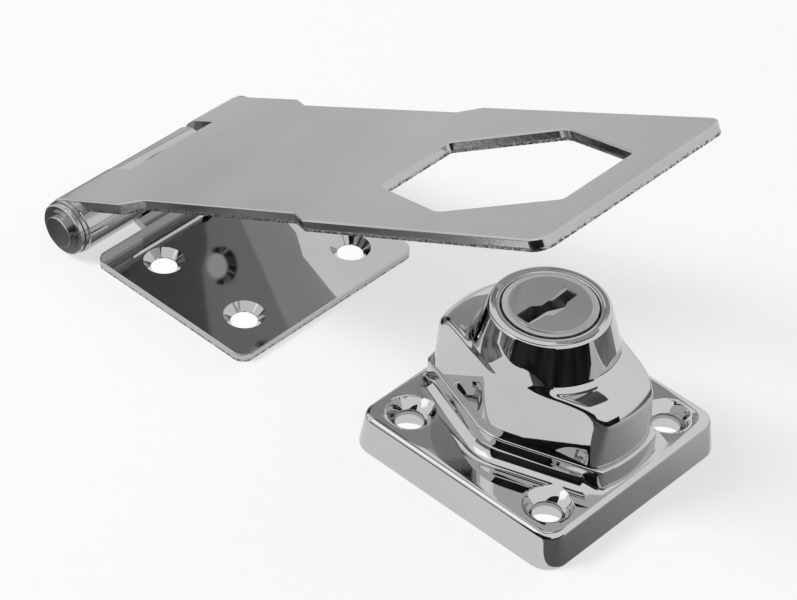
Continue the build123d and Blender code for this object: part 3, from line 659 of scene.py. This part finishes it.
def floor_material():
    """Pale paper: it keeps the soft shadow and stays near white where the camera and the metal see it.
    Under the two screwed plates it glows almost white, painted light over their shade.
    """
    g = Graph("pale_floor")
    paper = g.noise(400, 3.0, 0.5)
    color = g.mix(g.span(paper, 0.3, 0.7), (0.90, 0.90, 0.90), (0.93, 0.93, 0.93))
    shader = g.add("ShaderNodeBsdfDiffuse")
    g.put(shader, Color=color)
    glow = g.add("ShaderNodeEmission")
    glow.inputs["Strength"].default_value = 1.0
    path = g.add("ShaderNodeLightPath")
    seen = g.math("MAXIMUM", path.outputs["Is Camera Ray"], path.outputs["Is Glossy Ray"])
    seen = g.math("MAXIMUM", seen, path.outputs["Is Transmission Ray"])
    share = GLOW
    # Painted light: under each plate the floor's glow rises almost to white, over the plate's shade.
    for middle_x, half_x, half_y in UNDER_PLATES:
        in_x = g.math("ABSOLUTE", g.math("SUBTRACT", g.dot("Object", (1.0, 0.0, 0.0)), middle_x))
        in_y = g.math("ABSOLUTE", g.dot("Object", (0.0, 1.0, 0.0)))
        under = g.math("MULTIPLY", g.math("LESS_THAN", in_x, half_x), g.math("LESS_THAN", in_y, half_y))
        share = g.math("ADD", share, g.math("MULTIPLY", under, UNDER_PLATE_PAINTED_LIGHT - GLOW))
    blend = g.add("ShaderNodeMixShader")
    g.link(g.math("MULTIPLY", seen, share), blend.inputs[0])
    g.link(shader.outputs["BSDF"], blend.inputs[1])
    g.link(glow.outputs["Emission"], blend.inputs[2])
    out = g.add("ShaderNodeOutputMaterial")
    g.link(blend.outputs["Shader"], out.inputs["Surface"])
    return g.material


def plane(name, corners, material):
    """A flat stage piece given by its corners."""
    mesh = bpy.data.meshes.new(name)
    mesh.from_pydata(corners, [], [list(range(len(corners)))])
    piece = bpy.data.objects.new(name, mesh)
    mesh.materials.append(material)
    bpy.context.scene.collection.objects.link(piece)
    return piece


SQUARE_TURNS = ((-1, -1), (1, -1), (1, 1), (-1, 1))
FLOOR_HALF = 3.0
FLOOR_DROP = -0.00012
plane("floor", [(x * FLOOR_HALF, y * FLOOR_HALF, FLOOR_DROP) for x, y in SQUARE_TURNS], floor_material())


def felt(name, low, high, scale=3.0, fade=None, strength=1.0):
    """A card's material: a tone that drifts between two values, or also fades along a direction.

    fade gives the direction and the distances along it where the fade starts and ends.
    """
    g = Graph(name + "_felt")
    drift = g.span(g.noise(scale, 2.0, 0.5), 0.35, 0.65)
    if fade is not None:
        direction, start, end = fade
        drift_share = 0.15
        along = g.span(g.dot("Object", direction), start, end, 0.0, 1.0 - drift_share)
        drift = g.math("ADD", g.math("MULTIPLY", drift, drift_share), along)
    shader = g.add("ShaderNodeEmission")
    g.put(shader, Color=g.mix(drift, (low,) * 3, (high,) * 3), Strength=strength)
    out = g.add("ShaderNodeOutputMaterial")
    g.link(shader.outputs["Emission"], out.inputs["Surface"])
    return g.material


def hide_card(piece):
    """Leaves a card only in what the chrome mirrors."""
    piece.visible_camera = False
    piece.visible_shadow = False
    piece.visible_diffuse = False
    return piece


def card(name, place, facing, width, height, material):
    """A studio card that glows at its own tone, which the chrome mirrors. The camera doesn't see it."""
    normal = (Vector(facing) - Vector(place)).normalized()
    across = normal.cross(Vector((0, 0, 1))).normalized()
    up = across.cross(normal)
    middle = Vector(place)
    corners = [middle + across * x * width / 2 + up * y * height / 2 for x, y in SQUARE_TURNS]
    return hide_card(plane(name, [tuple(c) for c in corners], material))


def lamp(name, place, target, width, height, energy):
    """A rectangular softbox. The chrome doesn't mirror it."""
    data = bpy.data.lights.new(name, "AREA")
    data.shape = "RECTANGLE"
    data.size = width
    data.size_y = height
    data.energy = energy
    piece = bpy.data.objects.new(name, data)
    piece.location = place
    aim = Vector(target) - Vector(place)
    piece.rotation_euler = aim.to_track_quat("-Z", "Y").to_euler()
    piece.visible_glossy = False
    bpy.context.scene.collection.objects.link(piece)


LEFT_PLACE = (-0.6, -0.7, 0.95)
lamp("left_softbox", LEFT_PLACE, (0, 0, 0), width=0.5, height=0.5, energy=13.0)
lamp("back_softbox", (0.25, 1.1, 0.22), (0, 0, 0.02), width=0.7, height=0.25, energy=4.0)
# A card that glows at the left softbox's place: the chrome mirrors it as painted highlights, softer than
# the lamp, which the chrome doesn't see.
glow_felt = felt("left_glow", 0.9, 1.0, strength=1.7)
card("left_glow", LEFT_PLACE, (0, 0, 0), width=0.5, height=0.5, material=glow_felt)

# Dark and grey cards stand low in front and to the right, where flanks, cone and skirt mirror them
dark = felt("dark", 0.006, 0.03, 40.0)
grey = felt("front_left", 0.02, 0.4, 260.0)
card("front_room", (0.045, -0.085, 0.041), (0.045, 0.0, 0.041), width=0.13, height=0.082, material=dark)
card("front_left", (-0.05, -0.085, 0.014), (-0.05, 0.0, 0.014), width=0.06, height=0.028, material=grey)
card("right_room", (0.098, -0.045, 0.016), (0.0, -0.045, 0.016), width=0.15, height=0.032, material=dark)

# High card behind the hasp, mirrored by the flat faces: it stands square to the camera's heading
ACROSS = (0.755, 0.656, 0.0)
CARD_REACH = 0.25
CARD_SHIFT = 0.01
CARD_HEIGHT = 0.217
high_foot = (-CARD_SHIFT * ACROSS[0], -CARD_SHIFT * ACROSS[1], CARD_HEIGHT)
high_place = (high_foot[0] - ACROSS[1] * CARD_REACH, high_foot[1] + ACROSS[0] * CARD_REACH, CARD_HEIGHT)
high_felt = felt("high", 0.12, 0.42, 25.0, fade=(ACROSS, -0.02, 0.045))
card("high_card", high_place, high_foot, width=0.14, height=0.052, material=high_felt)
back_felt = felt("back_wall", 0.64, 0.76, 6.0)
card("back_wall", (-0.36, 0.26, 0.06), (0.0, 0.0, 0.06), width=0.9, height=0.12, material=back_felt)


def patch(name, outline, low, high, scale, fade=None):
    """A grey patch lying on the floor, only in what the chrome mirrors."""
    hide_card(plane(name, [(x, y, 0.0) for x, y in outline], felt(name, low, high, scale, fade)))


def patch_box(name, x_span, y_span, low, high, scale, fade=None):
    """A patch with its sides along X and Y."""
    (x0, x1), (y0, y1) = x_span, y_span
    patch(name, [(x0, y0), (x1, y0), (x1, y1), (x0, y1)], low, high, scale, fade)


BACK_OUTLINE = [(-0.13, 0.028), (-0.07, 0.028), (-0.1, 0.5), (-0.6, 0.1), (-0.4, 0.028)]
RIGHT_SPAN = (0.0206, 0.17)
patch("back_floor", BACK_OUTLINE, 0.66, 0.74, 9.0)
patch_box("hinge_shade", (-0.12, -0.036), (-0.075, -0.0225), 0.08, 0.3, 60.0)
patch_box("knuckle_shade", (-0.2, -0.0889), (-0.0222, 0.0275), 0.34, 0.46, 30.0)
patch_box("near_shade", RIGHT_SPAN, (-0.16, 0.045), 0.06, 0.75, 20.0, fade=((0.0, 1.0, 0.0), -0.018, 0.03))
patch_box("far_shade", RIGHT_SPAN, (0.046, 0.16), 0.15, 0.3, 20.0)

world = bpy.data.worlds.new("studio")
world.use_nodes = True

# The camera and the metal see a white studio. The rest is lit by less of it, so the floor keeps its shadow.
tree = world.node_tree
background = tree.nodes["Background"]
background.inputs["Color"].default_value = (1, 1, 1, 1)
path = tree.nodes.new("ShaderNodeLightPath")
seen = tree.nodes.new("ShaderNodeMath")
seen.operation = "ADD"
tree.links.new(path.outputs["Is Camera Ray"], seen.inputs[0])
tree.links.new(path.outputs["Is Glossy Ray"], seen.inputs[1])
level = tree.nodes.new("ShaderNodeMapRange")
level.inputs["To Min"].default_value = 0.4
level.inputs["To Max"].default_value = 1.0
tree.links.new(seen.outputs["Value"], level.inputs["Value"])
tree.links.new(level.outputs["Result"], background.inputs["Strength"])
bpy.context.scene.world = world

right = Vector(VIEW_RIGHT).normalized()
ahead = Vector(VIEW_AHEAD).normalized()
up = right.cross(ahead).normalized()
camera_data = bpy.data.cameras.new("camera")
camera_data.sensor_width = SENSOR
camera_data.lens = FOCAL_PX / FRAME_WIDTH * SENSOR
camera_data.clip_start = 0.01
camera = bpy.data.objects.new("camera", camera_data)
turn = Matrix((right, up, -ahead)).transposed().to_4x4()
camera.matrix_world = Matrix.Translation(CAMERA_PLACE) @ turn
bpy.context.scene.collection.objects.link(camera)
bpy.context.scene.camera = camera

scene = bpy.context.scene
scene.view_settings.view_transform = "Standard"
